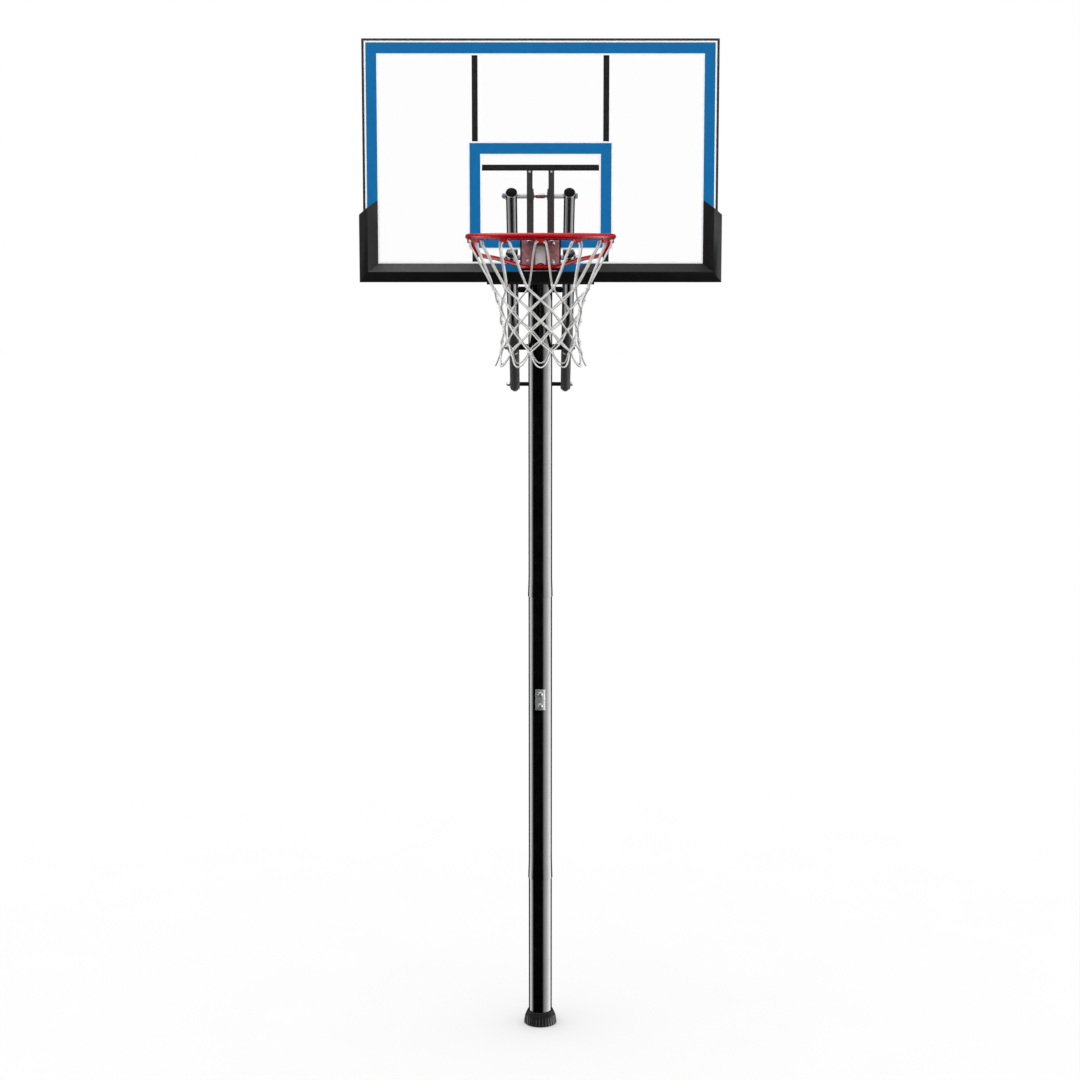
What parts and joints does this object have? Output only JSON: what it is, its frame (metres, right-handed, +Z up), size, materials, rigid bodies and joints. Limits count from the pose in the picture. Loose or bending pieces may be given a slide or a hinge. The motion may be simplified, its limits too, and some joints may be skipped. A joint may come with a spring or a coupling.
{
  "type": "height-adjustable basketball hoop",
  "caption": "Basketball hoop on a round sectional pole: clear bordered board on a screw-jack parallelogram lift, padded lower edge, breakaway red rim and white net.",
  "frame": {"origin": "on the pole's axis at ground level, in the middle of the end plug's flat underside", "axes": "+Z up along the pole, the board and rim face -Y, +X to the right of someone facing the board"},
  "size_m": [1.2556, 1.7203, 3.717],
  "materials": {
    "gloss_black_paint": "gloss",
    "black_plastic": "satin",
    "frame_paint": "satin",
    "edge_pad": "matte",
    "clear_panel": "gloss",
    "red_paint": "gloss",
    "net_cord": "matte",
    "chrome": "polished",
    "zinc": "satin"
  },
  "bodies": {
    "pole": {"pole_lower": "gloss_black_paint", "pole_middle": "gloss_black_paint", "pole_upper": "gloss_black_paint", "pole_cap": "black_plastic", "pole_end_plug": "black_plastic", "ground_collar": "black_plastic", "nut_plate": "zinc", "jack_bracket": "gloss_black_paint", "bracket_bolt_lower": "zinc", "bracket_bolt_upper": "zinc", "upper_pivot_bolt": "zinc", "lower_pivot_bolt": "zinc", "upper_pivot_spacer_left": "gloss_black_paint", "upper_pivot_spacer_right": "gloss_black_paint", "lower_pivot_spacer_left": "gloss_black_paint", "lower_pivot_spacer_right": "gloss_black_paint"},
    "upper_arms": {"upper_arm_left": "gloss_black_paint", "upper_arm_right": "gloss_black_paint", "upper_cap_left_front": "black_plastic", "upper_cap_left_rear": "black_plastic", "upper_cap_right_front": "black_plastic", "upper_cap_right_rear": "black_plastic", "rear_bolt": "zinc", "rear_spacer_left": "gloss_black_paint", "rear_spacer_right": "gloss_black_paint"},
    "lower_arms": {"lower_arm_left": "gloss_black_paint", "lower_arm_right": "gloss_black_paint", "lower_cap_left_front": "black_plastic", "lower_cap_left_rear": "black_plastic", "lower_cap_right_front": "black_plastic", "lower_cap_right_rear": "black_plastic"},
    "board": {"panel": "clear_panel", "top_rail": "frame_paint", "bottom_rail": "frame_paint", "left_rail": "frame_paint", "right_rail": "frame_paint", "upright_left": "frame_paint", "upright_right": "frame_paint", "crossbar": "frame_paint", "centre_bar_left": "frame_paint", "centre_bar_right": "frame_paint", "edge_pad": "edge_pad", "front_upper_bolt": "chrome", "front_lower_bolt": "chrome", "front_upper_sleeve_left": "zinc", "front_upper_sleeve_right": "zinc", "front_lower_sleeve_left": "zinc", "front_lower_sleeve_right": "zinc", "rim_mount_plate": "red_paint", "rim_hinge_pin": "zinc", "spring_housing": "zinc"},
    "rim": {"rim_ring": "red_paint", "rim_brace": "red_paint", "rim_carrier": "red_paint", "net": "net_cord"},
    "jack_tube": {"jack_tube": "gloss_black_paint"},
    "jack_rod": {"jack_rod": "chrome", "jack_gearbox": "gloss_black_paint"},
    "crank": {"crank": "zinc", "crank_grip": "black_plastic"}
  },
  "joints": [
    {"name": "lift", "type": "hinge", "parent": "pole", "child": "upper_arms", "pos_m": [0, 0, 2.856], "axis": [1, 0, 0], "range_deg": [0, 86.67]},
    {"name": "lower_arm_pivot", "type": "hinge", "parent": "pole", "child": "lower_arms", "pos_m": [0, 0, 2.642], "axis": [1, 0, 0], "range_deg": [0, 90]},
    {"name": "board_pivot", "type": "hinge", "parent": "upper_arms", "child": "board", "pos_m": [0, -0.451, 3.187], "axis": [1, 0, 0], "range_deg": [-90, 0]},
    {"name": "jack_pivot", "type": "hinge", "parent": "upper_arms", "child": "jack_tube", "pos_m": [0, 0.5224, 2.4726], "axis": [1, 0, 0], "range_deg": [-80, 0]},
    {"name": "jack_extend", "type": "slide", "parent": "jack_tube", "child": "jack_rod", "axis": [0, -0.3389, -0.9408], "range_m": [0, 0.84]},
    {"name": "crank_turn", "type": "hinge", "parent": "jack_rod", "child": "crank", "pos_m": [0, 0.12994, 1.32323], "axis": [0, 0.9408, -0.3389], "continuous": true},
    {"name": "rim_release", "type": "hinge", "parent": "board", "child": "rim", "pos_m": [0, -0.558, 2.95], "axis": [1, 0, 0], "range_deg": [0, 20], "stiffness_Nm_per_rad": 300, "springref_deg": -11.46}
  ],
  "couplings": [
    {"joint": "lower_arm_pivot", "follows": "lift", "ratio": 1},
    {"joint": "board_pivot", "follows": "lift", "ratio": -1},
    {"joint": "jack_pivot", "follows": "lift", "ratio": -0.87137},
    {"joint": "jack_extend", "follows": "lift", "m_per_rad": 0.55042}
  ]
}
